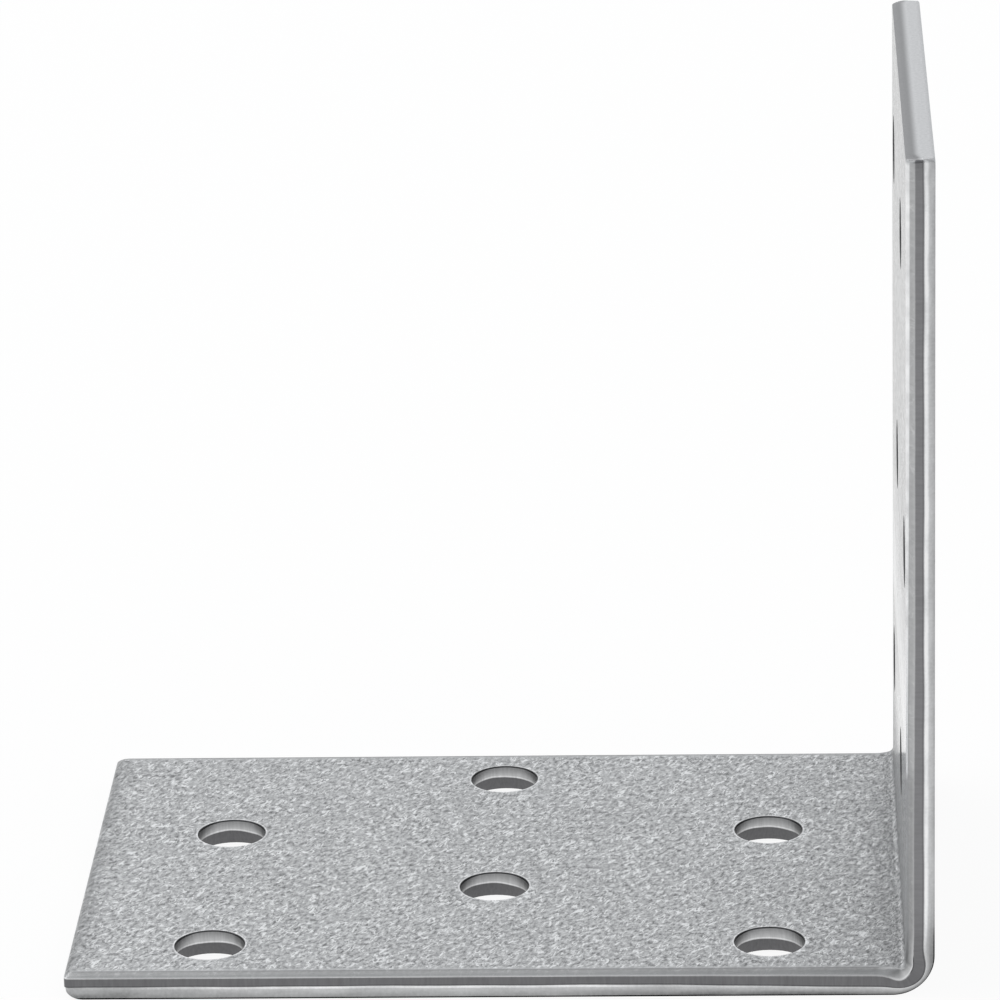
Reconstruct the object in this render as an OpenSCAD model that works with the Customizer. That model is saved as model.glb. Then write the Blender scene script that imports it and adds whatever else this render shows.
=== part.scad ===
// Angle bracket: one steel blank, punched with two staggered rows of holes a leg and folded once.
// The origin is under the middle of the bracket. The base lies on z = 0 and the wall leg is at +X.

/* [Blank] */
// Length of the flat blank, before it is folded at its middle
blank_l = 120; // [90:1:200]
// Width of the blank, along the fold
blank_w = 40; // [30:1:80]
// Thickness of the sheet
sheet_t = 2; // [1.6:0.1:3]
// Plan radius of the free corners on the front edge
front_corner_r = 0.3; // [0.1:0.1:3]
// Plan radius of the free corners on the back edge
back_corner_r = 0.6; // [0.1:0.1:3]

/* [Fold] */
// Inner radius of the fold
bend_r = 1; // [0.5:0.1:4]
// Radius of the punch's nose, which presses the inner corner sharper than the sheet bends
nose_r = 0.4; // [0.2:0.1:0.9]
// Depth of the unstretched layer below the inner face, as a share of the thickness
k_factor = 0.4; // [0.3:0.01:0.5]

/* [Holes] */
// Diameter of the holes, at their smooth wall
hole_d = 5; // [3:0.1:6]
// Distance from a free end to its first column of holes
end_margin = 10; // [6:0.5:20]
// Distance between columns, along the blank
column_step = 20; // [12:0.5:30]
// Least metal between a hole's smooth wall and the start of the fold
fold_clearance = 3; // [1:0.5:6]
// Distance from the front edge to the first row of holes
row_margin = 5; // [4:0.5:10]
// Distance between the holes of one column
row_step = 20; // [10:0.5:40]
// Sideways shift of every second column
row_shift = 10; // [0:0.5:20]

/* [Cut edges] */
// Depth of the rolled lip that the cut leaves on the inner face
roll_depth = 0.3; // [0.1:0.05:0.5]
// Width of the rolled lip
roll_w = 0.6; // [0.2:0.05:1]
// Depth below the inner face at which the smooth cut turns into the torn one
smooth_depth = 0.95; // [0.7:0.05:1.2]
// Size of the small ledge where the tear starts
tear_ledge = 0.06; // [0.02:0.01:0.1]
// How far the torn face leans in at the outer face
tear_lean = 0.16; // [0.12:0.01:0.4]
// Radius of the worn outer edge at the base's free end
base_end_r = 1; // [0.2:0.1:1.2]
// Radius of the worn outer edge at the wall leg's free end
wall_end_r = 0.2; // [0.1:0.1:1]
// Depth of the torn band at the wall leg's free end, which is cut off from its outer face
end_tear_depth = 0.6; // [0.3:0.05:1]

/* [Punched rims] */
// Radius of the rolled rim at the mouth of each hole
rim_r = 0.05; // [0.05:0.05:0.4]
// Depth below the inner face at which a hole's smooth wall ends
hole_smooth_depth = 1; // [0.7:0.05:1.3]
// How much wider than its smooth wall a hole is at the outer face, on the radius
hole_flare = 0.4; // [0.05:0.01:0.5]

/* [Hidden] */
$fn = 96;
// Overshoot of the cutting shapes past the faces that they cut
over = 1;
// Radius of the fold at the outer face, and length of the unstretched layer round the fold
fold_r = bend_r + sheet_t;
fold_l = PI / 2 * (bend_r + k_factor * sheet_t);
// Length of a leg's flat stretch, and its outside length with the fold
flat_l = (blank_l - fold_l) / 2;
leg_l = flat_l + fold_r;
// Radius of the rolled lip, which starts tangent to the inner face
roll_r = (roll_w * roll_w + roll_depth * roll_depth) / (2 * roll_depth);
hole_r = hole_d / 2;
// Columns that fit on a leg between its free end and the fold
columns = floor((flat_l - end_margin - hole_r - fold_clearance) / column_step) + 1;

// Sideways places of the holes in a column, measured from the sheet's middle line
function hole_rows(shift) =
    let (span = blank_w - 2 * row_margin - shift, last = floor(span / row_step))
    [for (i = [0:last]) row_margin + shift + i * row_step - blank_w / 2];

// What rounding takes off a square corner at the origin whose sheet lies towards +X and +Y
module corner_waste(r) {
    difference() {
        translate([-over, -over]) square(r + over);
        translate([r, r]) circle(r = r);
    }
}

// What the shear takes off a straight cut: x is the depth below the inner face, y runs into the sheet
module shear_waste() {
    difference() {
        translate([-over, -over]) square([roll_depth + over, roll_w + over]);
        translate([roll_r, roll_w]) circle(r = roll_r);
    }
    polygon([
        [smooth_depth, -over], [smooth_depth, 0], [smooth_depth + tear_ledge, tear_ledge],
        [sheet_t, tear_lean], [sheet_t + over, tear_lean], [sheet_t + over, -over]
    ]);
}

// Cross-section of the sheet: x is the distance from the fold's axis, y runs along the fold
module sheet_section() {
    difference() {
        translate([bend_r, -blank_w / 2]) square([sheet_t, blank_w]);
        for (side = [0, 1])
            mirror([0, side]) translate([bend_r, -blank_w / 2]) shear_waste();
    }
}

// What the shear takes off an end that it cuts from the outer face, so that the inner edge is torn
module tear_waste() {
    polygon([
        [-over, -over], [-over, tear_lean], [0, tear_lean], [end_tear_depth, 0],
        [end_tear_depth, -over]
    ]);
}

// Lengthwise section of a leg, which ends in a cut at y = flat_l. Its children are the cut's waste.
module end_section(end_r) {
    difference() {
        translate([bend_r, -over]) square([sheet_t, flat_l + over]);
        translate([bend_r, flat_l]) mirror([0, 1]) children();
        translate([fold_r, flat_l]) mirror([1, 0]) mirror([0, 1]) corner_waste(end_r);
    }
}

// Outline of a leg's face: x runs along the fold from the front edge, y towards the free end
module leg_outline() {
    difference() {
        translate([-blank_w / 2, -over]) square([blank_w, flat_l + over]);
        translate([-blank_w / 2, flat_l]) mirror([0, 1]) corner_waste(front_corner_r);
        translate([blank_w / 2, flat_l]) mirror([1, 0]) mirror([0, 1]) corner_waste(back_corner_r);
    }
}

// Space left by one stroke of the punch, which comes from the inner face at z = 0 and goes up
module punched_hole() {
    translate([0, 0, -over]) cylinder(r = hole_r, h = sheet_t + 2 * over);
    rotate_extrude() translate([hole_r, 0]) difference() {
        translate([-over, 0]) square([rim_r + over, rim_r]);
        translate([rim_r, rim_r]) circle(r = rim_r);
    }
    translate([0, 0, hole_smooth_depth])
        cylinder(r1 = hole_r, r2 = hole_r + hole_flare, h = sheet_t - hole_smooth_depth);
}

// One leg, upright on the fold's axis, with its outer face towards +X and its free end up.
// Its children are what the shear takes off that end.
module leg(end_r, first_column) {
    difference() {
        intersection() {
            linear_extrude(flat_l) sheet_section();
            rotate([90, 0, 0]) linear_extrude(blank_w + over, center = true)
                end_section(end_r) children();
            rotate([90, 0, 90]) linear_extrude(fold_r + over) leg_outline();
        }
        for (i = [0:columns - 1], y = hole_rows((first_column + i) % 2 * row_shift))
            translate([bend_r, y, flat_l - end_margin - i * column_step])
                rotate([0, 90, 0]) punched_hole();
    }
}

// The quarter turn between the legs
module fold() {
    rotate([-90, 0, 0]) rotate_extrude(angle = 90) sheet_section();
}

// Space of the punch's nose in the inner corner, from edge to edge
module nose_print() {
    rotate([90, 0, 0]) linear_extrude(blank_w + 2 * over, center = true) difference() {
        translate([0, -bend_r]) square(bend_r);
        translate([bend_r, -bend_r]) mirror([1, 0]) corner_waste(min(nose_r, bend_r - 0.1));
    }
}

module bracket() {
    color("silver") translate([leg_l / 2 - fold_r, 0, fold_r]) difference() {
        union() {
            leg(wall_end_r, 1) tear_waste();
            mirror([1, 0, 1]) leg(base_end_r, 0) shear_waste();
            fold();
        }
        nose_print();
    }
}

bracket();
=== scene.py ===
# Zinc-coated angle bracket: a punched steel blank, modelled flat, folded once and set in a plain studio
import math

import bmesh
import bpy
from bpy.props import FloatProperty, FloatVectorProperty, PointerProperty
from mathutils import Matrix, Vector


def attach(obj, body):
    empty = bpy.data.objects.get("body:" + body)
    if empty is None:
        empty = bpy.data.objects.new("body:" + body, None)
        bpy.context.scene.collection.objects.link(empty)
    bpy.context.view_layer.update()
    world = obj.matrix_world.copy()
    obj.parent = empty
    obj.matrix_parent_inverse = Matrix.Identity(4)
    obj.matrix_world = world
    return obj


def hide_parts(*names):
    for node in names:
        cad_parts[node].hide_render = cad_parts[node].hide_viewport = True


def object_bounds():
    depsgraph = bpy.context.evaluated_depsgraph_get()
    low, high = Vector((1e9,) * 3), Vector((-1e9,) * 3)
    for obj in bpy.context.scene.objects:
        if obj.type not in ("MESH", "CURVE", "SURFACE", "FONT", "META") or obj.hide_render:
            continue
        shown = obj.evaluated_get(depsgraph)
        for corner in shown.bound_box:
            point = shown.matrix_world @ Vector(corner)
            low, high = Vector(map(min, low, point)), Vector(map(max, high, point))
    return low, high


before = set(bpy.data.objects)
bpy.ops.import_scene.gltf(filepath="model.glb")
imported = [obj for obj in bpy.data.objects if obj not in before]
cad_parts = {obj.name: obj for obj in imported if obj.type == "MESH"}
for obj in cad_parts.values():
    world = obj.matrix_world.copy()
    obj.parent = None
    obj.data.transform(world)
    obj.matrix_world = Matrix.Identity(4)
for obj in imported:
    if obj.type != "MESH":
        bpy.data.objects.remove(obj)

bl_info = {
    "name": "Folded angle bracket",
    "version": (1, 0, 0),
    "blender": (4, 5, 0),
    "location": "View3D > Sidebar > Bracket",
    "description": "Punches, cuts and folds a zinc-coated sheet into an angle bracket and lights it",
    "category": "Object",
}

MM = 0.001
CAD_NODE = "bracket"
PIECE = "folded_sheet"
CAD_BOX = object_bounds()
CAD_SPAN = CAD_BOX[1] - CAD_BOX[0]
TOUCH = 0.001 * MM
# Material slots of the sheet, in the order in which its mesh names them
ZINC, CUT, PUNCHED = range(3)
PLACE = "blank_place"


def length(name, text, mm):
    return FloatProperty(name=name, description=text, default=mm * MM, min=0, unit="LENGTH", precision=5)


def share(name, text, value, high=1):
    return FloatProperty(name=name, description=text, default=value, min=0, max=high)


def colour(name, text, value):
    return FloatVectorProperty(
        name=name, description=text, default=value, size=3, min=0, max=1, subtype="COLOR"
    )


def spot(name, text, value):
    return FloatVectorProperty(name=name, description=text, default=value, size=3, unit="LENGTH")


def angle(name, text, degrees):
    return FloatProperty(name=name, description=text, default=math.radians(degrees), subtype="ANGLE")


class SheetSizes(bpy.types.PropertyGroup):
    """Sizes of the blank, its fold, its holes and its cut edges."""

    leg_l: FloatProperty(
        name="Leg", description="Outside length of each leg", default=CAD_SPAN.x, unit="LENGTH"
    )
    blank_w: FloatProperty(
        name="Width", description="Width along the fold", default=CAD_SPAN.y, unit="LENGTH"
    )
    sheet_t: length("Thickness", "Thickness of the sheet", 2)
    bend_r: length("Inner radius", "Inner radius to which the sheet bends", 1)
    nose_r: length("Nose", "Radius to which the punch's nose presses the inner corner", 0.4)
    k_factor: share("K factor", "Depth of the unstretched layer, as a share of the thickness", 0.4)
    front_corner_r: length("Front corners", "Plan radius of the free corners at the front", 0.3)
    back_corner_r: length("Back corners", "Plan radius of the free corners at the back", 0.6)
    hole_r: length("Hole radius", "Radius of a hole's smooth wall", 2.5)
    rim_r: length("Rim", "Radius of the rolled rim at a hole's mouth", 0.05)
    hole_smooth_depth: length("Hole wall", "Depth at which a hole's smooth wall ends", 1)
    hole_flare: length("Flare", "How much wider a hole is at the outer face", 0.4)
    column_step: length("Column step", "Distance between columns of holes", 20)
    row_shift: length("Row shift", "Distance between rows of holes", 10)
    roll_depth: length("Lip depth", "Depth of the rolled lip on the inner face", 0.3)
    roll_w: length("Lip width", "Width of the rolled lip", 0.6)
    smooth_depth: length("Smooth cut", "Depth at which the smooth cut turns into the torn one", 0.98)
    tear_ledge: length("Ledge", "Size of the ledge where the tear starts", 0.06)
    tear_lean: length("Tear lean", "How far the torn face leans in at the outer face", 0.16)
    base_end_r: length("Base end", "Radius of the worn outer edge at the base's free end", 1)
    wall_end_r: length("Wall end", "Radius of the worn outer edge at the wall leg's free end", 0.2)
    end_tear_depth: length("End tear", "Depth of the torn band at the wall leg's free end", 0.6)
    fold_bulge: share("Fold bulge", "How far the fold fills the rolled lip at its inner side", 0.8)
    bulge_depth: length("Bulge depth", "How much deeper the bulge makes the rolled lip", 0.36)
    bulge_side: length("Bulge side", "Distance from the fold's middle to that deepest place", 0.9)
    bulge_spread: length("Bulge spread", "Distance along the blank over which that depth dies out", 0.8)
    bulge_reach: length("Bulge reach", "Distance along the blank over which the bulge dies out", 1.2)
    wall_drop: length("Wall leg's drop", "How much deeper the bands of the cut lie on the wall leg", 0.2)
    wall_lip: length("Wall leg's lip", "How much deeper still its rolled lip gets, away from the fold", 0.1)
    pinch: length("Pinch", "How much the fold narrows the torn band", 0.2)
    pinch_reach: length("Pinch reach", "Distance along the blank over which the pinch dies out", 1.1)
    swell: length("Swell", "How much deeper the smooth cut goes near the fold", 0.34)
    lip_swell: length("Lip's swell", "How much deeper the rolled lip goes near the fold", 0.1)
    swell_reach: length("Swell reach", "Distance along the base over which the swell dies out", 12)


class ZincLook(bpy.types.PropertyGroup):
    """Colours and grain of the coated faces and of the cut steel, with the colours of their painted shade
    and painted highlights.
    """

    light: colour("Light zinc", "Colour of the coating's bright strokes", (0.69, 0.695, 0.7))
    dark: colour("Dark zinc", "Colour of the coating's dull strokes", (0.132, 0.134, 0.137))
    grain: length("Grain", "Size of one grain of the coating", 0.53)
    lean: share("Lean", "How far the grain leans over as it crosses the sheet", 0.25)
    draw: share("Draw", "Length of the grain along the sheet, as a share of that across it", 0.65)
    even_grain: share("Even grain", "Strength of the grain where it is weakest", 0.42)
    patchy_grain: share("Patchy grain", "How much stronger the grain is in its patches", 0.7)
    ridges: share("Ridges", "Strength of the bright ridges on the grain", 0.34)
    ridges_mean: share("Ridges' mean", "What the ridges add on average, taken off everywhere", 0.05)
    ridge_width: share("Ridge width", "Width of the bright ridges, as a share of their noise", 0.05)
    ridge_lean: share("Ridge lean", "How far the ridges lean over as they cross the sheet", 0.5)
    ridge_draw: share("Ridge draw", "Length of a ridge along the sheet, as a share of that across it", 0.5)
    contrast: share("Contrast", "How much the strokes of the coating differ", 3.0, high=4)
    middle: share("Middle tone", "Tone between the dark and the light zinc where no stroke lies", 0.59)
    drift: share("Drift", "How much the tone drifts over the sheet", 0.12)
    plain_lip: share("Plain lip", "How much of the strokes' contrast the plain lips lose", 0.9)
    plain_dull: share("Plain tone", "How much of their tone the plain lips lose", 0.05)
    grain_height: length("Grain height", "Height of the coating's grain", 0.012)
    roughness: share("Roughness", "Roughness of the coating", 0.42)
    stroke_polish: share("Stroke polish", "How much smoother the bright strokes are", 0.3)
    polish: share("Polish", "How much smoother the wall leg's inner face is", 0.3)
    high_polish_less: share("High polish", "How much less smooth it is above the mirrored base", 0.1)
    tear_height: length("Tear height", "Height of the marks in the cut edges and the hole walls", 0.02)
    cut_roughness: share("Cut roughness", "Roughness of the smooth band of a cut", 0.34)
    hole_roughness: share("Hole roughness", "Roughness of the smooth band of a hole's wall", 0.4)
    torn_rougher: share("Torn roughness", "How much rougher a torn band is", 0.2)
    # The smooth band's colour is bare burnished steel, darkened further with painted shade for the dark
    # reflection of the camera's side
    smooth_steel: colour("Smooth cut", "Colour of the smooth band of a cut", (0.155, 0.155, 0.16))
    torn_steel: colour("Torn cut", "Colour of the torn band of a cut", (0.58, 0.585, 0.59))
    # The colour of every painted highlight: the bright lines along sharp edges, and the bright marks on the
    # coating and round the holes
    edge_line: colour("Edge line", "Colour of the bright line along a sharp edge", (0.95, 0.955, 0.96))
    end_torn: colour("Torn end", "Colour of the torn band at the wall leg's end", (0.205, 0.205, 0.21))
    end_smooth: colour("Smooth end", "Colour of the rest of the wall leg's end", (0.53, 0.533, 0.54))
    hole_steel: colour("Hole wall", "Colour of the smooth band of a hole's wall", (0.5, 0.505, 0.51))
    # The torn band of a hole's wall is darkened with painted shade, where the floor shuts out the light
    # from below
    hole_torn: colour("Torn hole", "Colour of the torn band of a hole's wall", (0.17, 0.17, 0.175))
    # The dark line round a hole's mouth is painted shade at its rounded rim
    hole_rim: colour("Hole rim", "Colour of the dark line round a hole's mouth", (0.05, 0.05, 0.052))


class StudioLook(bpy.types.PropertyGroup):
    """The floor, the light and the camera."""

    floor: colour("Floor", "Colour of the floor", (0.86, 0.86, 0.86))
    floor_white: share("White floor", "How much of the floor shows as plain white", 0.92)
    floor_half: length("Floor's half", "Half of the floor's width", 3000)
    floor_gap: length("Floor's gap", "Distance between the sheet and the floor", 0.02)
    key: FloatProperty(name="Key lamp", description="Power of the key lamp", default=3.2, unit="POWER")
    key_size: length("Key lamp's size", "Width of the key lamp", 900)
    key_place: spot("Key lamp's place", "Place of the key lamp", (-0.35, 0.3, 0.8))
    key_aim: spot("Key lamp's aim", "Place that the key lamp looks at", (0, 0, 0.02))
    surround: share("Surround", "Brightness of the light from all round", 1.0, high=2)
    front_less: share("Front", "How much weaker that light is from the camera's side", 0.7)
    overhead_less: share("Overhead", "How much weaker that light is from overhead", 0.35)
    camera_place: spot("Camera", "Place of the camera", (0.01906, -0.40801, 0.181))
    camera_turn: angle("Turn", "Turn of the camera to the right", -2.661)
    camera_dip: angle("Dip", "Tilt of the camera below the horizon", 20.27)
    camera_roll: angle("Roll", "Roll of the camera", -1.462)
    lens: FloatProperty(name="Lens", description="Focal length in millimetres", default=217.5)
    sensor: FloatProperty(name="Sensor", description="Width of the sensor in millimetres", default=36)
    nearest: length("Nearest", "Nearest place that the camera sees", 10)
    furthest: length("Furthest", "Furthest place that the camera sees", 20000)


class Blank:
    """The flat blank: x runs from the base's free end to the wall leg's, y to the back, z to the inside."""

    CELL_CUTS = (11, 7)
    ROLL_STEPS = 7
    TORN_STEPS = 8
    RIM_STEPS = 4
    FOLD_STEPS = 32
    BULGE_STEPS = 12
    # Segments of half a rounded corner
    CORNER_STEPS = 2
    # Start and reach, in millimetres, of where the cut's bands sink on the wall leg, and its lip again
    BANDS_SINK, LIP_SINKS = (-2, 5), (10, 15)
    # Height of the ripple in the smooth band's end and lengths of its two waves, in millimetres
    RIPPLE, WAVES = 0.012, (2.6, 1.1)

    def __init__(self, sizes):
        self.s = sizes
        self.fold_r = sizes.bend_r + sizes.sheet_t
        self.flat_l = sizes.leg_l - self.fold_r
        self.fold_l = math.pi / 2 * (sizes.bend_r + sizes.k_factor * sizes.sheet_t)
        self.half_l = self.flat_l + self.fold_l / 2
        self.half_w = sizes.blank_w / 2

    def cut_profile(self):
        """Depth and inset of each ring of the outer cut, from the inner face down."""
        s = self.s
        lip_r = (s.roll_w**2 + s.roll_depth**2) / (2 * s.roll_depth)
        lip_angle = math.asin(s.roll_w / lip_r)
        turns = [lip_angle * i / self.ROLL_STEPS for i in range(self.ROLL_STEPS + 1)]
        lip = [(lip_r * (1 - math.cos(a)), s.roll_w - lip_r * math.sin(a)) for a in turns]
        smooth = [(s.end_tear_depth, 0), (s.smooth_depth, 0)]
        top = s.smooth_depth + s.tear_ledge
        turns = [math.pi / 2 * i / self.TORN_STEPS for i in range(self.TORN_STEPS + 1)]
        torn = [
            (
                top + (s.sheet_t - top) * math.sin(a),
                s.tear_ledge + (s.tear_lean - s.tear_ledge) * math.sin(a),
            )
            for a in turns
        ]
        return lip + smooth + torn

    def outline(self, depth, inset):
        """Lowest and highest corner of the blank at a depth, with its worn free ends."""
        s = self.s
        # The wall leg's end was cut from its outer face, so that it is torn at its inner edge
        torn = s.tear_lean * max(0, 1 - depth / s.end_tear_depth) ** 2
        ends = []
        for r, cut in ((s.base_end_r, inset), (s.wall_end_r, torn)):
            past = max(0, depth - (s.sheet_t - r))
            ends.append(max(cut, r - math.sqrt(max(0, r * r - past * past))))
        return (
            Vector((ends[0] - self.half_l, inset - self.half_w, -depth)),
            Vector((self.half_l - ends[1], self.half_w - inset, -depth)),
        )

    def hole_profile(self):
        """Depth and radius of each ring of a hole's wall, from the inner face down."""
        s = self.s
        turns = [math.pi / 2 * i / self.RIM_STEPS for i in range(self.RIM_STEPS + 1)]
        rim = [(s.rim_r * (1 - math.cos(a)), s.hole_r + s.rim_r * (1 - math.sin(a))) for a in turns]
        middle = (s.rim_r + s.hole_smooth_depth) / 2
        return rim + [
            (middle, s.hole_r),
            (s.hole_smooth_depth, s.hole_r),
            (s.sheet_t, s.hole_r + s.hole_flare),
        ]

    def holes(self, depth):
        """Centres of the holes, in every second cell of the grid that the columns and rows make."""
        columns = round(2 * self.half_l / self.s.column_step)
        rows = round(2 * self.half_w / self.s.row_shift)
        return [
            Vector((
                (i + 0.5) * self.s.column_step - self.half_l,
                (j + 0.5) * self.s.row_shift - self.half_w,
                -depth,
            ))
            for i in range(columns) for j in range(rows) if (i + j) % 2 == 0
        ]

    def wear(self, co):
        """Place of a point of the blank once its cut edges are uneven and the fold has bulged them."""
        s = self.s
        side, end, depth = self.half_w - abs(co.y), self.half_l - abs(co.x), -co.z
        if min(side, end) > s.roll_w + TOUCH or depth > s.sheet_t - TOUCH:
            return co
        # The wall leg's end is worn only beside its corners
        worn = min(max(2 - side / s.roll_w, 0), 1) if co.x > 0 else 1
        x = co.x / MM
        wall, upper = (
            min(max((x - start) / reach, 0), 1) for start, reach in (self.BANDS_SINK, self.LIP_SINKS)
        )
        near_fold = math.exp(-((co.x / s.bulge_reach) ** 2))
        ripple = self.RIPPLE * MM * (math.sin(x / self.WAVES[0]) + math.sin(x / self.WAVES[1] + 1))
        deepest = math.exp(-(((co.x + s.bulge_side) / s.bulge_spread) ** 2))
        swelled = math.exp(-((co.x / (s.swell_reach if x < 0 else s.bulge_reach)) ** 2))
        lip_end = (
            s.roll_depth + s.wall_drop * wall + s.wall_lip * upper
            + s.bulge_depth * deepest + s.lip_swell * swelled
        )
        smooth_end = (
            s.smooth_depth + s.wall_drop * wall + ripple + s.swell * swelled
            + s.pinch * math.exp(-((co.x / s.pinch_reach) ** 2))
        )
        knots = (
            (0, 0), (s.roll_depth, lip_end), (s.smooth_depth, smooth_end), (s.sheet_t, s.sheet_t)
        )
        y = co.y
        if depth < s.roll_depth - TOUCH:
            y = math.copysign(self.half_w - side * (1 - s.fold_bulge * near_fold), y)
        for (old0, new0), (old1, new1) in zip(knots, knots[1:]):
            if depth <= old1 + TOUCH:
                depth = new0 + (depth - old0) / (old1 - old0) * (new1 - new0)
                break
        return co.lerp(Vector((co.x, y, -depth)), worn)

    def fold(self, co):
        """Place of a point of the flat blank once the sheet is folded, sharper inside than outside."""
        s = self.s
        depth, half = -co.z, self.fold_l / 2
        radius = s.nose_r + depth / s.sheet_t * (self.fold_r - s.nose_r)
        inward = s.bend_r + depth - radius
        arc = radius * math.pi / 4
        reach = min(abs(co.x) / half, 1) * (arc + inward)
        past = max(0, reach - arc) + max(0, abs(co.x) - half)
        turn = math.pi / 4 + math.copysign(min(reach, arc) / radius, co.x)
        out = Vector((math.sin(turn), 0, -math.cos(turn)))
        along = Vector((math.cos(turn), 0, math.sin(turn)))
        axis = Vector((s.leg_l / 2 - self.fold_r + inward, co.y, self.fold_r - inward))
        return axis + out * radius + along * math.copysign(past, co.x)


def move_outline(verts, old, new, corner_r):
    """Moves a ring of vertices from one rectangular outline to another, with its corners as they are."""
    for vert in verts:
        for axis in range(2):
            for before, after in zip(old, new):
                if abs(vert.co[axis] - before[axis]) < corner_r + TOUCH:
                    vert.co[axis] += after[axis] - before[axis]
                    break
        vert.co.z = new[0].z


def grow_ring(bm, edges, material):
    """Extrudes a ring of edges in place and returns the new ring's vertices and edges."""
    made = bmesh.ops.extrude_edge_only(bm, edges=edges)["geom"]
    verts = {item for item in made if isinstance(item, bmesh.types.BMVert)}
    for face in {face for edge in edges for face in edge.link_faces if verts & set(face.verts)}:
        face.material_index = material
    ring = {edge for vert in verts for edge in vert.link_edges if edge.other_vert(vert) in verts}
    return list(verts), list(ring)


def faces_at(bm, depth):
    """Faces that lie flat at a depth of the blank."""
    return [face for face in bm.faces if all(abs(vert.co.z + depth) < TOUCH for vert in face.verts)]


def nearest(bm, depth, place):
    """Vertex of a flat face that is nearest to a place."""
    verts = {vert for face in faces_at(bm, depth) for vert in face.verts}
    return min(verts, key=lambda vert: (vert.co - place).length)


def round_corners(bm, blank, depth):
    """Rounds the corners of a flat face in plan, more at the back than at the front."""
    for side_x, side_y in ((-1, -1), (-1, 1), (1, -1), (1, 1)):
        place = Vector((side_x * blank.half_l, side_y * blank.half_w, -depth))
        radius = blank.s.back_corner_r if side_y > 0 else blank.s.front_corner_r
        inward = [Vector((-side_x, 0, 0)), Vector((0, -side_y, 0))]
        for along, across in (inward, inward[::-1]):
            tip = nearest(bm, depth, place)
            arm = max(
                (edge for edge in tip.link_edges if edge.is_boundary),
                key=lambda edge: (edge.other_vert(tip).co - tip.co).normalized().dot(along),
            )
            new = bmesh.ops.bisect_edges(bm, edges=[arm], cuts=blank.CORNER_STEPS)["geom_split"]
            new = {item for item in new if isinstance(item, bmesh.types.BMVert)}
            for step, vert in enumerate(sorted(new, key=lambda vert: (vert.co - place).length), 1):
                turn = math.pi / 4 * (1 - step / blank.CORNER_STEPS)
                vert.co = place + radius * (along * (1 - math.sin(turn)) + across * (1 - math.cos(turn)))
        nearest(bm, depth, place).co = place + radius * (1 - math.sqrt(0.5)) * (inward[0] + inward[1])


def face_sheet(bm, blank, depth, inset, hole_r):
    """One flat face of the blank: a grid of cells, every second one bridged to a round hole."""
    s = blank.s
    cells = (round(2 * blank.half_l / s.column_step), round(2 * blank.half_w / s.row_shift))
    verts = bmesh.ops.create_grid(
        bm, x_segments=cells[0], y_segments=cells[1], size=1, matrix=Matrix.Translation((0, 0, -depth))
    )["verts"]
    bmesh.ops.scale(bm, vec=(blank.half_l, blank.half_w, 1), verts=verts)
    for axis, cuts in enumerate(blank.CELL_CUTS):
        across = {
            edge for face in faces_at(bm, depth) for edge in face.edges
            if abs(edge.verts[0].co[1 - axis] - edge.verts[1].co[1 - axis]) < TOUCH
        }
        bmesh.ops.bisect_edges(bm, edges=list(across), cuts=cuts)
    round_corners(bm, blank, depth)
    border = {edge for face in faces_at(bm, depth) for edge in face.edges if edge.is_boundary}
    rings = []
    for centre in blank.holes(depth):
        cell = min(
            faces_at(bm, depth), key=lambda face: (face.calc_center_bounds() - centre).length
        )
        frame_edges = list(cell.edges)
        bmesh.ops.delete(bm, geom=[cell], context="FACES_ONLY")
        # The circle is lifted off the plane while it is bridged, so that the bridge can't twist
        lift = Vector((0, 0, s.sheet_t))
        circle = bmesh.ops.create_circle(
            bm, segments=len(frame_edges), radius=hole_r, matrix=Matrix.Translation(centre + lift)
        )["verts"]
        ring = list({edge for vert in circle for edge in vert.link_edges})
        bmesh.ops.bridge_loops(bm, edges=frame_edges + ring)
        bmesh.ops.translate(bm, vec=-lift, verts=circle)
        rings.append((centre, ring))
    corner = Vector((blank.half_l, blank.half_w, depth))
    move_outline({vert for edge in border for vert in edge.verts}, (-corner, corner),
                 blank.outline(depth, inset), s.back_corner_r)
    return list(border), rings


def build_blank(blank):
    """The whole flat blank, a closed shell: inner face, outer cut, hole walls and outer face."""
    s = blank.s
    bm = bmesh.new()
    profile, wall = blank.cut_profile(), blank.hole_profile()
    rim, rings = face_sheet(bm, blank, 0, profile[0][1], wall[0][1])
    for before, after in zip(profile, profile[1:]):
        rolled = after[0] < s.roll_depth + TOUCH
        verts, rim = grow_ring(bm, rim, ZINC if rolled else CUT)
        move_outline(verts, blank.outline(*before), blank.outline(*after), s.back_corner_r)
    for centre, ring in rings:
        for (z0, r0), (z1, r1) in zip(wall, wall[1:]):
            verts, ring = grow_ring(bm, ring, PUNCHED)
            bmesh.ops.scale(
                bm, vec=(r1 / r0, r1 / r0, 1), space=Matrix.Translation(-centre), verts=verts
            )
            bmesh.ops.translate(bm, vec=(0, 0, z0 - z1), verts=verts)
    face_sheet(bm, blank, s.sheet_t, profile[-1][1], wall[-1][1])
    bmesh.ops.remove_doubles(bm, verts=bm.verts[:], dist=TOUCH)
    for face in bm.faces:
        if face.calc_center_bounds().x > blank.half_l - s.tear_lean:
            face.material_index = CUT
    return bm


def slice_blank(bm, blank):
    """Cuts the blank across where it is going to bend, and more widely where the bend bulges it."""
    step = blank.fold_l / blank.FOLD_STEPS
    places = [i * step - blank.fold_l / 2 for i in range(blank.FOLD_STEPS + 1)]
    for side in (-1, 1):
        places += [side * (blank.fold_l / 2 + 2 * step * (i + 1)) for i in range(blank.BULGE_STEPS)]
    for place in places:
        bmesh.ops.bisect_plane(
            bm, geom=bm.verts[:] + bm.edges[:] + bm.faces[:], dist=TOUCH,
            plane_co=(place, 0, 0), plane_no=(1, 0, 0),
        )


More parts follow.
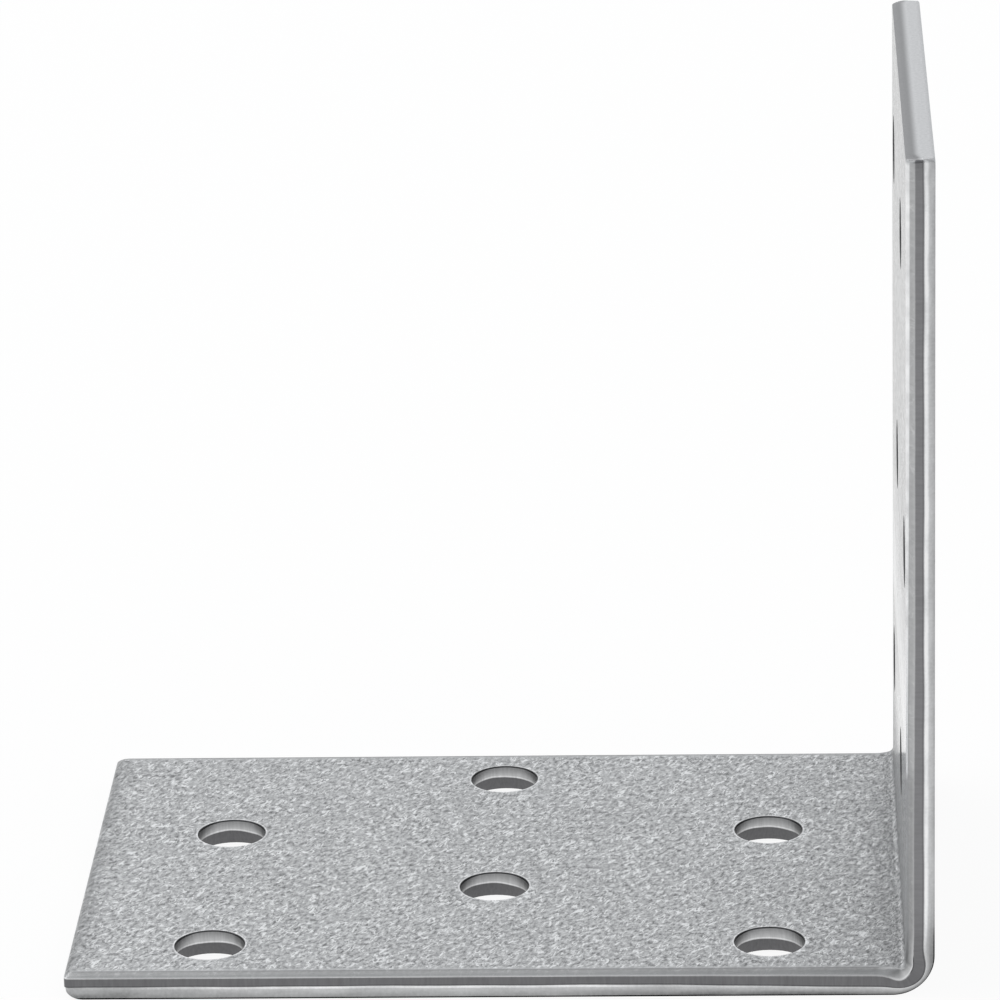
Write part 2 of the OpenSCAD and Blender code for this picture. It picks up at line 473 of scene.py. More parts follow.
def fold_blank(bm, blank):
    """Notes each vertex's place on the flat blank, wears and bulges its cut edges, and folds it."""
    layer = bm.verts.layers.float_vector.new(PLACE)
    for vert in bm.verts:
        vert[layer] = vert.co
        vert.co = blank.fold(blank.wear(vert.co))


def finish_mesh(bm, name, sharp_angle=math.radians(24)):
    """Turns the shell's faces outwards, marks its sharp edges and makes the object."""
    bmesh.ops.recalc_face_normals(bm, faces=bm.faces[:])
    for face in bm.faces:
        face.smooth = True
    for edge in bm.edges:
        edge.smooth = edge.calc_face_angle(math.pi) < sharp_angle
    mesh = bpy.data.meshes.new(name)
    bm.to_mesh(mesh)
    bm.free()
    piece = bpy.data.objects.new(name, mesh)
    bpy.context.scene.collection.objects.link(piece)
    weighted = piece.modifiers.new("Flat faces stay flat", "WEIGHTED_NORMAL")
    weighted.keep_sharp = True
    return piece


class Field:
    """A socket that takes part in arithmetic: each operator adds its Math node."""

    def __init__(self, maker, socket):
        self.maker = maker
        self.socket = socket

    def math(self, operation, *others):
        return self.maker.node("ShaderNodeMath", {"operation": operation}, self, *others)

    def __add__(self, other):
        return self.math("ADD", other)

    def __radd__(self, other):
        return self.math("ADD", other)

    def __sub__(self, other):
        return self.math("SUBTRACT", other)

    def __rsub__(self, other):
        return Field.of(self.maker, other).math("SUBTRACT", self)

    def __mul__(self, other):
        return self.math("MULTIPLY", other)

    def __rmul__(self, other):
        return self.math("MULTIPLY", other)

    def __truediv__(self, other):
        return self.math("DIVIDE", other)

    def __abs__(self):
        return self.math("ABSOLUTE")

    @staticmethod
    def of(maker, number):
        return maker.node("ShaderNodeMath", {"operation": "ADD"}, number, 0.0)


class Shader:
    """The nodes of a material or of the world, under construction."""

    def __init__(self, owner):
        self.owner = owner
        owner.use_nodes = True
        self.tree = owner.node_tree
        self.tree.nodes.clear()

    def node(self, kind, settings, *values, output=0, **named):
        """Adds a node, sets it, then fills its sockets in order or by name, and returns an output."""
        node = self.tree.nodes.new(kind)
        for key, value in settings.items():
            setattr(node, key, value)
        for socket, value in [*zip(node.inputs, values), *self.by_name(node, named)]:
            if isinstance(value, Field):
                self.tree.links.new(value.socket, socket)
            elif value is not None:
                socket.default_value = value
        return Field(self, node.outputs[output]) if node.outputs else node

    @staticmethod
    def by_name(node, named):
        return [(node.inputs[name.replace("_", " ")], value) for name, value in named.items()]

    def mix(self, factor, first, second):
        """Colour mix."""
        node = self.tree.nodes.new("ShaderNodeMix")
        node.data_type = "RGBA"
        colours = [socket for socket in node.inputs if socket.type == "RGBA"]
        for socket, value in zip([node.inputs[0], *colours], (factor, first, second)):
            if isinstance(value, Field):
                self.tree.links.new(value.socket, socket)
            else:
                socket.default_value = value if isinstance(value, float) else (*value, 1)
        return Field(self, next(out for out in node.outputs if out.type == "RGBA"))

    def vector(self, operation, *values):
        return self.node("ShaderNodeVectorMath", {"operation": operation}, *values)

    def step(self, value, low, high):
        """Smooth ramp from 0 at low to 1 at high."""
        return self.node(
            "ShaderNodeMapRange", {"interpolation_type": "SMOOTHSTEP"}, value, low, high, 0.0, 1.0
        )

    def noise(self, place, scale, detail=2.0, rough=0.5, warp=0.0):
        return self.node(
            "ShaderNodeTexNoise", {"noise_dimensions": "3D"},
            Vector=place, Scale=scale, Detail=detail, Roughness=rough, Distortion=warp,
        )

    def split(self, vector):
        """The three numbers of a vector."""
        node = self.tree.nodes.new("ShaderNodeSeparateXYZ")
        self.tree.links.new(vector.socket, node.inputs[0])
        return [Field(self, out) for out in node.outputs]

    def finish(self, **sockets):
        """Gives the material its surface and returns it."""
        surface = self.node("ShaderNodeBsdfPrincipled", {}, **sockets)
        self.node("ShaderNodeOutputMaterial", {}, surface)
        return self.owner


def blank_axes(shader):
    """Place on the flat blank in millimetres, as a vector and as its three numbers."""
    place = shader.node("ShaderNodeAttribute", {"attribute_name": PLACE}, output=1)
    place = shader.vector("SCALE", place, None, None, 1 / MM)
    return place, shader.split(place)


def hole_axes(shader, blank, x, y):
    """Distances along and across from the nearest cell's middle, and 1 where that cell has a hole."""
    cells, places = [], []
    for along, half, step in (
        (x, blank.half_l, blank.s.column_step), (y, blank.half_w, blank.s.row_shift)
    ):
        turns = (along + half / MM) / (step / MM)
        cells.append(turns.math("FLOOR"))
        places.append((turns - cells[-1] - 0.5) * (step / MM))
    punched = 1 - (cells[0] + cells[1]).math("MODULO", 2.0)
    return *places, punched


class CoatZones:
    """Fields over the coated faces: distances in millimetres, and zones from 0 outside to 1 inside."""

    # Stretches along the blank from the fold's middle, positive on the wall leg
    PAST_FOLD = (0.5, 4)
    WALL_LEG = (8, 20)
    # HIGH is where the wall leg's inner face rises above its mirror image of the base, and where its
    # painted shade and painted highlights change
    HIGH = (14.5, 16)
    THINNER_LIP = (12, 50)
    NO_END_LIP = (0, 1)
    POLISHED = (2, 12)
    # The same for the end of what mirrors the base, and how far it comes down per millimetre across
    PAST_MIRRORED, MIRRORED_LEAN = (12, 18), 0.4
    # Heights over the inner face, and depths below it
    INNER_FACE = (-0.9, -0.5)
    TURNED_DOWN = (0.02, 0.22)
    # Distances in from the sheet's edge, past the lip, and past the line where side and end meet
    INLAND = (0.5, 1.1)
    OFF_SIDE = (0.3, 0.7)
    PAST_LIP = (-0.06, 0.02)
    NEARER_END = (-0.3, 0.3)
    # Width that the plain lip loses on the wall leg, and again towards the leg's top
    WALL_LIP_LOSS = 0.28
    TOP_LIP_LOSS = 0.12
    # Share of the coating's strokes that the base's soft end keeps
    SOFT_END_KEEPS = 0.8

    def __init__(self, shader, blank, x, y, z):
        self.depth = z * -1.0
        # The wall leg's free end has no rolled lip, so its margin is counted from further out
        self.end = blank.half_l / MM - abs(x) + shader.step(x, *self.NO_END_LIP)
        self.side = blank.half_w / MM - abs(y)
        self.margin = self.end.math("MINIMUM", self.side)
        self.inner = shader.step(z, *self.INNER_FACE)
        self.on_wall = shader.step(x, *self.PAST_FOLD)
        lip = blank.s.roll_w / MM - self.on_wall * self.WALL_LIP_LOSS
        lip = lip - shader.step(x, *self.THINNER_LIP) * self.TOP_LIP_LOSS
        self.rolled = self.inner * (1 - shader.step(self.margin - lip, *self.PAST_LIP))
        self.flat = 1 - self.rolled
        self.turned_down = shader.step(self.depth, *self.TURNED_DOWN)
        self.high = shader.step(x, *self.HIGH) * self.inner
        # The rolled lip of the base's free end is soft and keeps the coating's strokes
        on_base = 1 - shader.step(x, *self.WALL_LEG)
        self.soft_end = shader.step(self.side - self.end, *self.NEARER_END) * on_base
        at_edge = 1 - shader.step(self.margin, *self.INLAND)
        self.plain = at_edge * (1 - self.soft_end * self.SOFT_END_KEEPS)


class CoatShade:
    """How much of its brightness the coating loses, as shares, and where: mostly painted shade, and a
    darker band at the base's free end.
    """

    # Painted shade on the lip, which faces the darker light from the camera's side: on the flat and the
    # turned-down half of the lip
    LIP, LIP_TURNED_LESS = 0.46, 0.9
    SOFT_END_LESS = 0.7
    WALL_LIP_LESS, WALL_LIP_FLAT_LESS, WALL_LIP_TURNED = 0.4, 0.1, 0.3
    HIGH_LIP_LESS = 0.08
    # Less painted shade where the fold's bulge fills the lip, by distance from its deepest place
    BULGE_PLACE, BULGE, BULGE_LESS = -1.4, (1.3, 0.3), 0.3
    # Painted shade in the crease, where the wall leg keeps light off the base, by distance from the fold's
    # middle, and less on the lip
    CREASE = 0.22
    CREASE_CORE, CREASE_CORE_SHARE = (0, 3.5), 0.16
    CREASE_RIM, CREASE_RIM_SHARE = (3, 13), 0.06
    CREASE_LIP_LESS = 0.8
    # Darker towards the base's free end, and painted shade high on the wall leg
    WORN_END, WORN_END_SHARE = (2.5, 0.3), 0.2
    HIGH_SHARE = 0.16

    @classmethod
    def lost(cls, shader, zones, x):
        """Share of the brightness that goes: painted shade, and the darker band at the base's free end."""
        # Painted shade on the rolled lip, less where it turns down, on the soft end and on the wall leg
        lip = (cls.LIP - zones.on_wall * cls.WALL_LIP_LESS) * (1 - zones.turned_down * cls.LIP_TURNED_LESS)
        lip = lip * (1 - zones.soft_end * cls.SOFT_END_LESS)
        wall_lip = zones.turned_down * cls.WALL_LIP_TURNED - cls.WALL_LIP_FLAT_LESS
        lip = lip + zones.on_wall * wall_lip * (1 - zones.high) - zones.high * cls.HIGH_LIP_LESS
        lip = lip - shader.step(abs(x - cls.BULGE_PLACE), *cls.BULGE) * cls.BULGE_LESS
        # Painted shade in the crease beside the fold
        crease = cls.CREASE - shader.step(abs(x), *cls.CREASE_CORE) * cls.CREASE_CORE_SHARE
        crease = crease - shader.step(abs(x), *cls.CREASE_RIM) * cls.CREASE_RIM_SHARE
        crease = zones.inner * crease * (1 - zones.rolled * cls.CREASE_LIP_LESS)
        # Darker towards the base's free end, and painted shade on the wall leg's face high up
        worn = zones.soft_end * shader.step(zones.end, *cls.WORN_END) * cls.WORN_END_SHARE
        worn = worn + zones.high * zones.flat * cls.HIGH_SHARE
        return zones.rolled * lip + crease + worn


class CoatShine:
    """Painted highlights on the coating: how far it turns into the bright highlight colour, as shares, and
    where.
    """

    # Painted highlight on the turned-down half of the lip, by depth
    TURNED, TURNED_SHARE, TURNED_WALL_LESS = (0.2, 0.3), 0.4, 0.3
    # Painted highlight on the pad of metal that the fold pushes out, by distance from its middle and from
    # the edge
    PAD_PLACE, PAD, PAD_MARGIN, PAD_SHARE = -0.05, (0.8, 0.35), (0.62, 0.5), 0.3
    # Painted reflection on the first half of the wall leg's lip, brightest high up, by distance from the
    # side and from the end
    FIRST_HALF, OFF_END = (0.65, 0.6), (1.0, 1.6)
    FIRST_HALF_SHARE, FIRST_HALF_HIGH = 0.15, 0.65
    # Painted reflection, brighter in the lower part of the wall leg's high stretch
    LOW, LOW_SHARE = (30, 17), 0.6
    # A painted highlight round the mouths of the holes
    HALO, HALO_SHARE = (0.22, 0.1), 0.35

    @classmethod
    def gained(cls, shader, blank, zones, x, y, mottle):
        """Share of the painted highlight colour that comes in, with the mottle of the coating's own streaks
        high on the wall leg.
        """
        turned = zones.rolled * shader.step(zones.depth, *cls.TURNED)
        shine = turned * (cls.TURNED_SHARE - zones.on_wall * cls.TURNED_WALL_LESS)
        pad = zones.inner * shader.step(abs(x - cls.PAD_PLACE), *cls.PAD)
        shine = shine + pad * shader.step(zones.margin, *cls.PAD_MARGIN) * cls.PAD_SHARE
        first = zones.inner * shader.step(zones.side, *cls.FIRST_HALF) * zones.flat
        first = first * shader.step(zones.end, *cls.OFF_END)
        shine = shine + first * (zones.on_wall * cls.FIRST_HALF_SHARE + zones.high * cls.FIRST_HALF_HIGH)
        high_face = zones.high * zones.flat
        shine = shine + high_face * (shader.step(x, *cls.LOW) * cls.LOW_SHARE + mottle)
        beside, above, punched = hole_axes(shader, blank, x, y)
        away = (beside * beside + above * above).math("SQRT") - blank.s.hole_r / MM
        shine = shine + punched * zones.inner * shader.step(away, *cls.HALO) * cls.HALO_SHARE
        return shine.math("MAXIMUM", 0.0).math("MINIMUM", 1.0)


class CoatNoise:
    """How fine the coating's noises are: those of the strokes per grain, the others per millimetre."""

    GRAIN, RIDGES, BREAKS = 1.7, 0.9, 0.8
    # Noise at which a ridge is broken off, and at which it is whole
    WHOLE_RIDGE = (0.44, 0.62)
    PATCHES, DRIFT = 0.35, 0.12
    # The wall leg's mottle along, across and through the sheet
    MOTTLE = (0.7, 0.12, 1)


def coat_strokes(shader, look, place, x, y, z):
    """The coating's fine grain, and its strokes: the grain grown patchy, with bright ridges."""
    pitch = 1 / (look.grain / MM)
    # The grain leans over as it runs across the sheet, and the bright ridges lean most
    drawn = shader.node("ShaderNodeCombineXYZ", {}, x - y * look.lean, y * look.draw, z)
    swept = shader.node("ShaderNodeCombineXYZ", {}, x - y * look.ridge_lean, y * look.ridge_draw, z)
    grain = shader.noise(drawn, pitch * CoatNoise.GRAIN, detail=3.0, rough=0.7, warp=0.4) - 0.5
    ridge = abs(shader.noise(swept, pitch * CoatNoise.RIDGES, detail=1.5, warp=1.2) - 0.5)
    breaks = shader.noise(drawn, pitch * CoatNoise.BREAKS, detail=1.5)
    ridges = shader.step(ridge, look.ridge_width, 0.0) * shader.step(breaks, *CoatNoise.WHOLE_RIDGE)
    patch = shader.noise(place, CoatNoise.PATCHES, detail=1.0)
    strokes = grain * (look.even_grain + patch * look.patchy_grain)
    return grain, strokes + ridges * look.ridges - look.ridges_mean


def zinc_material(look, blank):
    """The coated faces: short bright strokes on a mottled ground, with plain rolled lips, painted shade and
    painted highlights.
    """
    shader = Shader(bpy.data.materials.new("zinc_coating"))
    place, (x, y, z) = blank_axes(shader)
    zones = CoatZones(shader, blank, x, y, z)
    grain, strokes = coat_strokes(shader, look, place, x, y, z)
    mottle = shader.noise(shader.vector("MULTIPLY", place, CoatNoise.MOTTLE), 1.0, detail=3.0) - 0.5
    drift = shader.noise(place, CoatNoise.DRIFT) - 0.5
    tone = strokes * look.contrast * (1 - zones.plain * look.plain_lip)
    tone = tone + drift * look.drift - zones.plain * look.plain_dull
    paint = shader.mix((tone + look.middle).math("MAXIMUM", 0.0), look.dark, look.light)
    # Painted shade darkens the paint, and painted highlights turn it towards the highlight colour
    paint = shader.vector("SCALE", paint, None, None, 1 - CoatShade.lost(shader, zones, x))
    shine = CoatShine.gained(shader, blank, zones, x, y, mottle)
    paint = shader.mix(shine, paint, look.edge_line)
    bump = shader.node(
        "ShaderNodeBump", {}, Strength=0.25, Distance=look.grain_height,
        Height=grain * (1 - zones.plain),
    )
    # The wall leg's inner face is smoothest where it mirrors the base
    polish = shader.step(x, *zones.POLISHED) * look.polish
    polish = polish - shader.step(x + y * zones.MIRRORED_LEAN, *zones.PAST_MIRRORED) * look.high_polish_less
    rough = look.roughness - polish * zones.inner * shader.step(zones.side, *zones.OFF_SIDE)
    rough = rough - strokes * look.stroke_polish
    return shader.finish(Base_Color=paint, Metallic=1.0, Roughness=rough, Normal=bump)


class CutZones:
    """Fields over the sheared edge, from 0 outside to 1 inside."""

    # Stretches along the blank from the fold's middle, positive on the wall leg
    WALL_LEG = (0, 6)
    NEAR_FOLD = (-24, -16)
    TIP = (-50, -57)
    CREASE_PLACE, CREASE = 0.7, (0.9, 0.5)
    # Depths below the end of the smooth band: the torn band, the painted highlight line, the painted shade
    # under the ledge where the tear starts, and the fade
    TORN = (0, 0.06)
    LINE_PLACE, LINE, WALL_LINE_DROP = 0.14, (0.14, 0.03), 0.15
    DARK_PLACE, DARK = -0.03, (0.07, 0.02)
    FADE_START = 0.2
    # Depths below the rolled lip, for the painted highlight on its crest, and over the outer face, for the
    # painted contact shadow along it
    CREST = (0.09, 0.02)
    OUTER_LINE = (0.15, 0.05)
    # How much wider the torn band's edge and the bright painted highlight line blur on the wall leg
    WALL_TORN_BLUR, WALL_LINE_BLUR = 3, 0.9

    def __init__(self, shader, blank, x, z):
        s = blank.s
        self.depth = z * -1.0
        smooth_end, lip_end, sheet_t = s.smooth_depth / MM, s.roll_depth / MM, s.sheet_t / MM
        edge = self.depth - smooth_end
        self.wall = shader.step(x, *self.WALL_LEG)
        self.torn = shader.step(edge / (1 + self.wall * self.WALL_TORN_BLUR), *self.TORN)
        off_line = abs(edge - self.LINE_PLACE - self.wall * self.WALL_LINE_DROP)
        self.line = shader.step(off_line / (1 + self.wall * self.WALL_LINE_BLUR), *self.LINE)
        self.near = shader.step(x, *self.NEAR_FOLD) * (1 - self.wall)
        self.tip = shader.step(x, *self.TIP)
        self.crest = shader.step(self.depth, *(lip_end + below for below in self.CREST))
        self.crease = shader.step(abs(x - self.CREASE_PLACE), *self.CREASE)
        self.dark = shader.step(abs(edge - self.DARK_PLACE), *self.DARK)
        self.fade = shader.step(self.depth, smooth_end + self.FADE_START, sheet_t)
        self.outer = shader.step(self.depth, *(sheet_t - over for over in self.OUTER_LINE))


class CutMarks:
    """How strongly the marks of the cut and its painted shade and highlights show, as shares of its
    brightness.
    """

    STREAKS, STREAKS_TORN_LESS = 0.5, 0.7
    GRIT = 0.3
    RUB, RUB_TORN_MORE = 0.15, 0.35
    # The torn band grows darker towards the outer face, and DARK is painted shade under the ledge where the
    # tear starts
    FADE, DARK = 0.36, 0.3
    # Painted contact shadow along the outer edge, faint on the wall leg
    OUTER_LINE, OUTER_WALL_LESS = 0.8, 0.75
    LIGHTER, LIGHTER_TORN_LESS = 0.06, 0.05
    # Painted light: the wall leg's cut is lit more brightly than the base's
    WALL_LIGHTER, WALL_TORN_LESS = 0.4, 0.16
    # Painted shade on the torn band near the fold, deeper towards the outer face, and darker towards the
    # base's free tip
    NEAR_DULL, NEAR_FADE, TIP_DULL = 0.1, 0.2, 0.24
    # Painted highlights: the bright line below the smooth band, and the crest of the lip
    LINE, LINE_NEAR_LESS, LINE_TIP_LESS, LINE_WALL_LESS = 0.75, 0.45, 0.65, 0.12
    CREST, CREST_WALL_LESS, CREST_NEAR_LESS, CREST_CREASE = 0.55, 0.38, 0.18, 0.5
    LEAST_RUB = 0.4
    # Streaks and rubbed patches along, across and through the sheet, and scales per millimetre
    STREAK_STRETCH, RUB_STRETCH = (2.2, 2.2, 0.35), (0.3, 0.3, 1.5)
    STREAK_SCALE, GRIT_SCALE = 2.2, 5.0
    STREAK_HEIGHT = 0.6
    # At the wall leg's end: distance past its edge, blur of its tear, and its grit
    PAST_END, END_TEAR, END_GRIT = (0.05, -0.05), (-0.15, 0.4), 0.5

    @classmethod
    def shade(cls, zones, streaks, grit, rub):
        """Change of the steel's brightness, with its painted shade and painted light."""
        torn = zones.torn
        shade = (streaks - 0.5) * cls.STREAKS * (1 - torn * cls.STREAKS_TORN_LESS)
        shade = shade - zones.fade * torn * cls.FADE - zones.dark * cls.DARK
        shade = shade + (grit - 0.5) * cls.GRIT * torn + (rub - 0.5) * (cls.RUB + torn * cls.RUB_TORN_MORE)
        shade = shade - zones.outer * (cls.OUTER_LINE - zones.wall * cls.OUTER_WALL_LESS)
        shade = shade + zones.wall * (cls.WALL_LIGHTER - torn * cls.WALL_TORN_LESS)
        shade = shade + cls.LIGHTER - torn * cls.LIGHTER_TORN_LESS
        # Painted shade near the fold, and darker towards the base's free tip
        dull = zones.near * (cls.NEAR_DULL + zones.fade * cls.NEAR_FADE) + zones.tip * cls.TIP_DULL
        return shade - torn * dull - zones.crest * zones.crease * cls.CREST_CREASE

    @classmethod
    def shine(cls, zones, rub):
        """How far the steel turns into the colour of its painted highlights, varying with the rubbed
        patches.
        """
        line = cls.LINE - zones.near * cls.LINE_NEAR_LESS - zones.tip * cls.LINE_TIP_LESS
        crest = cls.CREST - zones.wall * cls.CREST_WALL_LESS - zones.near * cls.CREST_NEAR_LESS
        shine = zones.line * (line - zones.wall * cls.LINE_WALL_LESS)
        shine = shine + zones.crest * (1 - zones.crease) * crest
        return (shine * (cls.LEAST_RUB + rub)).math("MINIMUM", 1.0)


def wall_end_paint(shader, look, blank, depth, grit):
    """The wall leg's end, cut from the outer face: a dull torn band inside, a paler one outside."""
    pale = shader.step(depth, *(blank.s.end_tear_depth / MM + blur for blur in CutMarks.END_TEAR))
    paint = shader.mix(pale, look.end_torn, look.end_smooth)
    return shader.vector("SCALE", paint, None, None, (grit - 0.5) * CutMarks.END_GRIT + 1.0)


def cut_material(look, blank):
    """The sheared edge: a smooth dark band of burnished steel, darkened further with painted shade, a
    painted highlight line and a paler torn band.
    """
    shader = Shader(bpy.data.materials.new("sheared_edge"))
    place, (x, y, z) = blank_axes(shader)
    zones, marks = CutZones(shader, blank, x, z), CutMarks
    streaked = shader.vector("MULTIPLY", place, marks.STREAK_STRETCH)
    streaks = shader.noise(streaked, marks.STREAK_SCALE, detail=3.0, rough=0.6)
    grit = shader.noise(place, marks.GRIT_SCALE, detail=3.0, rough=0.65)
    rub = shader.noise(shader.vector("MULTIPLY", place, marks.RUB_STRETCH), 1.0)
    paint = shader.mix(zones.torn, look.smooth_steel, look.torn_steel)
    paint = shader.mix(marks.shine(zones, rub), paint, look.edge_line)
    shade = marks.shade(zones, streaks, grit, rub) + 1.0
    paint = shader.vector("SCALE", paint, None, None, shade)
    past_end = blank.half_l / MM - x - (blank.half_w / MM - abs(y))
    end_paint = wall_end_paint(shader, look, blank, zones.depth, grit)
    paint = shader.mix(shader.step(past_end, *marks.PAST_END), paint, end_paint)
    bump = shader.node(
        "ShaderNodeBump", {}, Strength=0.3, Distance=look.tear_height,
        Height=(streaks + grit * zones.torn) * marks.STREAK_HEIGHT,
    )
    rough = look.cut_roughness + zones.torn * look.torn_rougher
    return shader.finish(Base_Color=paint, Metallic=1.0, Roughness=rough, Normal=bump)


class PunchMarks:
    """Where the marks of a hole's wall and its painted shade and highlight lie, and how strongly they show,
    as shares.
    """

    # Height of the torn band's edge over the modelled one, and how far it wanders
    EDGE_LIFT, EDGE_WANDER = 0.12, 0.35
    TORN = (-0.03, 0.04)
    # A painted highlight line above the torn band, and the painted shade of the dark rim at the mouth
    LINE_PLACE, LINE, LINE_SHARE = -0.05, (0.1, 0.03), 0.45
    RIM, RIM_SHARE, RIM_FLANK_DEEPER = (0.13, 0.09), 0.9, 0.08
    # Painted shade on the flanks of the wall, by sideways distance from the hole's middle, in radiuses
    FLANK, FLANK_DARKER = (0.45, 1.05), 0.45
    # Strength of the streaks, and their stretch along, across and through the sheet
    STREAKS, STREAK_STRETCH, STREAK_SCALE = 0.5, (2.5, 2.5, 0.3), 2.5
    WANDER_SCALE = 0.3


def punched_material(look, blank):
    """A hole's wall: a dark rim of painted shade, a smooth streaked band, a painted highlight line and a
    torn band darkened with painted shade, with painted shade on its flanks.
    """
    s, marks = blank.s, PunchMarks
    shader = Shader(bpy.data.materials.new("punched_wall"))
    place, (x, y, z) = blank_axes(shader)
    depth = z * -1.0
    wander = (shader.noise(place, marks.WANDER_SCALE, detail=1.5) - 0.5) * marks.EDGE_WANDER
    edge = depth - (s.hole_smooth_depth / MM - marks.EDGE_LIFT + wander)
    torn = shader.step(edge, *marks.TORN)
    line = shader.step(abs(edge - marks.LINE_PLACE), *marks.LINE)
    beside = hole_axes(shader, blank, x, y)[0]
    flank = shader.step(abs(beside) / (s.hole_r / MM), *marks.FLANK)
    rim = shader.step(depth - flank * marks.RIM_FLANK_DEEPER, *marks.RIM)
    streaked = shader.vector("MULTIPLY", place, marks.STREAK_STRETCH)
    streaks = shader.noise(streaked, marks.STREAK_SCALE, detail=3.0, rough=0.6)
    # The torn band and the rim are darkened with painted shade, and the line is a painted highlight
    paint = shader.mix(torn, look.hole_steel, look.hole_torn)
    paint = shader.mix(line * marks.LINE_SHARE, paint, look.edge_line)
    paint = shader.mix(rim * marks.RIM_SHARE, paint, look.hole_rim)
    # Painted shade on the flanks of the wall
    shade = (streaks - 0.5) * marks.STREAKS + 1.0 - flank * (1 - torn) * marks.FLANK_DARKER
    paint = shader.vector("SCALE", paint, None, None, shade)
    bump = shader.node("ShaderNodeBump", {}, Strength=0.3, Distance=look.tear_height, Height=streaks)
    rough = look.hole_roughness + torn * look.torn_rougher
    return shader.finish(Base_Color=paint, Metallic=1.0, Roughness=rough, Normal=bump)


class BRACKET_OT_folded_sheet(bpy.types.Operator):
    """Punch, cut and fold the sheet, and coat it"""

    bl_idname = "bracket.folded_sheet"
    bl_label = "Folded sheet"

    def execute(self, context):
        scene = context.scene
        blank = Blank(scene.bracket_sizes)
        bm = build_blank(blank)
        slice_blank(bm, blank)
        fold_blank(bm, blank)
        piece = finish_mesh(bm, PIECE)
        for make in (zinc_material, cut_material, punched_material):
            piece.data.materials.append(make(scene.bracket_zinc, blank))
        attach(piece, "root")
        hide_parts(CAD_NODE)
        return {"FINISHED"}


def pale_floor(look):
    """A white floor that shows as white, and keeps a little of the bracket's soft shadow."""
    shader = Shader(bpy.data.materials.new("studio_floor"))
    path = shader.tree.nodes.new("ShaderNodeLightPath")
    seen, mirrored, through = (
        Field(shader, path.outputs[name])
        for name in ("Is Camera Ray", "Is Glossy Ray", "Is Transmission Ray")
    )
    share_white = (seen + mirrored + through).math("MINIMUM", 1.0) * look.floor_white
    matt = shader.node("ShaderNodeBsdfDiffuse", {}, Color=(*look.floor, 1))
    white = shader.node("ShaderNodeEmission", {}, Color=(1, 1, 1, 1), Strength=1.0)
    both = shader.node("ShaderNodeMixShader", {}, share_white, matt, white)
    shader.node("ShaderNodeOutputMaterial", {}, both)
    return shader.owner


def make_floor(look):
    """The floor, just below the sheet's outer face."""
    bm = bmesh.new()
    bmesh.ops.create_grid(bm, x_segments=1, y_segments=1, size=look.floor_half)
    bmesh.ops.translate(bm, vec=(0, 0, -look.floor_gap), verts=bm.verts[:])
    mesh = bpy.data.meshes.new("studio_floor")
    bm.to_mesh(mesh)
    bm.free()
    mesh.materials.append(pale_floor(look))
    floor = bpy.data.objects.new("studio_floor", mesh)
    bpy.context.scene.collection.objects.link(floor)


def make_world(look):
    """Light from all round, weaker from the camera's side and from overhead, and a white background."""
    world = bpy.data.worlds.new("studio")
    bpy.context.scene.world = world
    shader = Shader(world)
    # How far a ray has to turn to the front, and upwards, before the light gets weaker
    to_front, to_top = (0.35, 0.95), (0.7, 0.95)
    ray = shader.split(shader.node("ShaderNodeTexCoord", {}))
    front = shader.step(ray[1] * -1.0, *to_front)
    overhead = shader.step(ray[2], *to_top)
    glow = look.surround * (1 - front * look.front_less) * (1 - overhead * look.overhead_less)
    soft = shader.node("ShaderNodeBackground", {}, (0.97, 0.985, 1, 1), glow)
    white = shader.node("ShaderNodeBackground", {}, (1, 1, 1, 1), 1.0)
    seen = shader.node("ShaderNodeLightPath", {})
    both = shader.node("ShaderNodeMixShader", {}, seen, soft, white)
    shader.node("ShaderNodeOutputWorld", {}, both)


def make_key_lamp(look):
    """A square area lamp that looks at the bracket's middle."""
    data = bpy.data.lights.new("key_lamp", "AREA")
    data.size = look.key_size
    data.energy = look.key
    lamp = bpy.data.objects.new("key_lamp", data)
    lamp.location = look.key_place
    aim = Vector(look.key_aim) - Vector(look.key_place)
    lamp.rotation_euler = aim.to_track_quat("-Z", "Y").to_euler()
    bpy.context.scene.collection.objects.link(lamp)


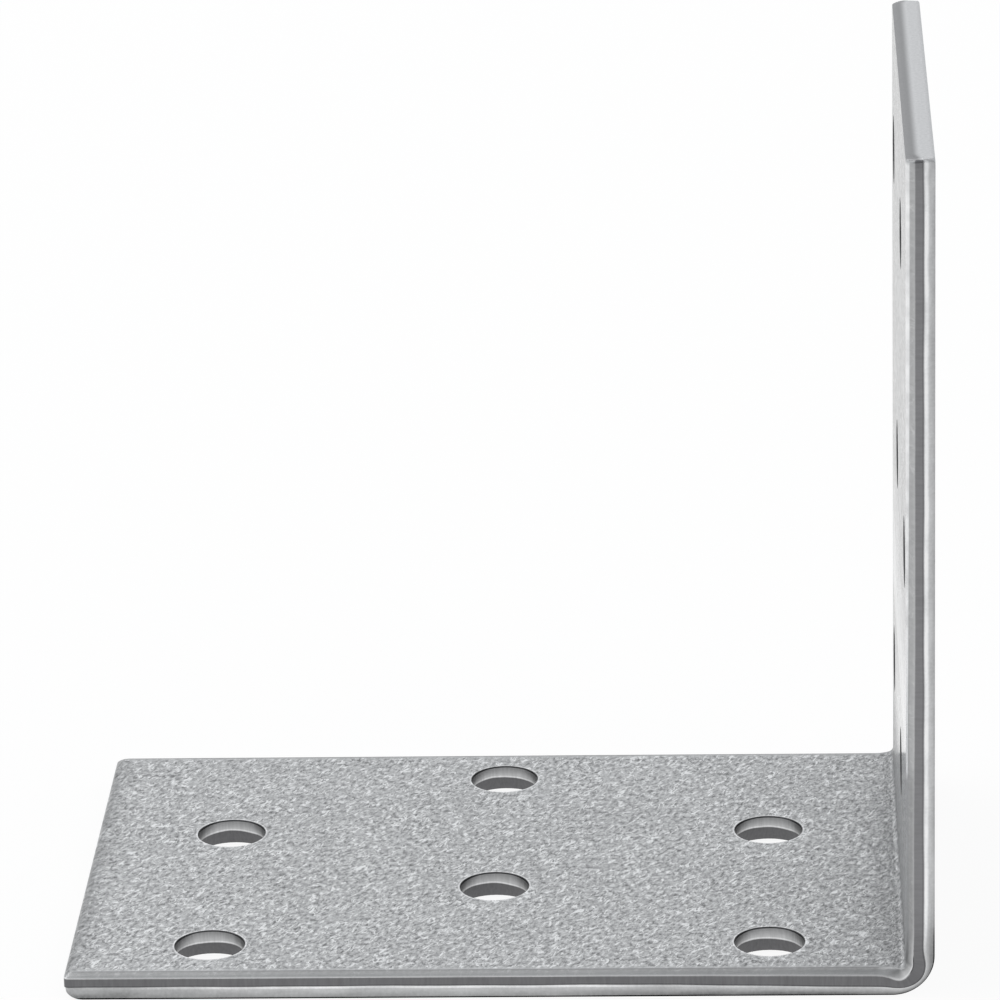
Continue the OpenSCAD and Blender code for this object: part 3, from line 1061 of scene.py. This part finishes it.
def make_camera(look):
    """The camera, at the photograph's viewing angle."""
    data = bpy.data.cameras.new("camera")
    data.sensor_width = look.sensor
    data.lens = look.lens
    data.clip_start, data.clip_end = look.nearest, look.furthest
    camera = bpy.data.objects.new("camera", data)
    turn = Matrix.Rotation(-look.camera_turn, 4, "Z")
    dip = Matrix.Rotation(math.pi / 2 - look.camera_dip, 4, "X")
    roll = Matrix.Rotation(look.camera_roll, 4, "Z")
    camera.matrix_world = Matrix.Translation(look.camera_place) @ turn @ dip @ roll
    bpy.context.scene.collection.objects.link(camera)
    bpy.context.scene.camera = camera


class BRACKET_OT_studio(bpy.types.Operator):
    """Make the floor, the light and the camera"""

    bl_idname = "bracket.studio"
    bl_label = "Studio"

    def execute(self, context):
        look = context.scene.bracket_studio
        make_floor(look)
        make_world(look)
        make_key_lamp(look)
        make_camera(look)
        context.scene.view_settings.view_transform = "Standard"
        return {"FINISHED"}


class BRACKET_PT_panel(bpy.types.Panel):
    """Settings and steps of the bracket"""

    bl_label = "Angle bracket"
    bl_idname = "BRACKET_PT_panel"
    bl_space_type = "VIEW_3D"
    bl_region_type = "UI"
    bl_category = "Bracket"

    def draw(self, context):
        for group in ("bracket_sizes", "bracket_zinc", "bracket_studio"):
            settings = getattr(context.scene, group)
            box = self.layout.box()
            for name in settings.__annotations__:
                box.prop(settings, name)
        for operator in (BRACKET_OT_folded_sheet, BRACKET_OT_studio):
            self.layout.operator(operator.bl_idname)


CLASSES = (
    SheetSizes, ZincLook, StudioLook, BRACKET_OT_folded_sheet, BRACKET_OT_studio, BRACKET_PT_panel,
)


def register():
    for cls in CLASSES:
        bpy.utils.register_class(cls)
    bpy.types.Scene.bracket_sizes = PointerProperty(type=SheetSizes)
    bpy.types.Scene.bracket_zinc = PointerProperty(type=ZincLook)
    bpy.types.Scene.bracket_studio = PointerProperty(type=StudioLook)


def unregister():
    for name in ("bracket_sizes", "bracket_zinc", "bracket_studio"):
        delattr(bpy.types.Scene, name)
    for cls in reversed(CLASSES):
        bpy.utils.unregister_class(cls)


def main():
    register()
    bpy.ops.bracket.folded_sheet()
    bpy.ops.bracket.studio()


if __name__ == "__main__":
    main()
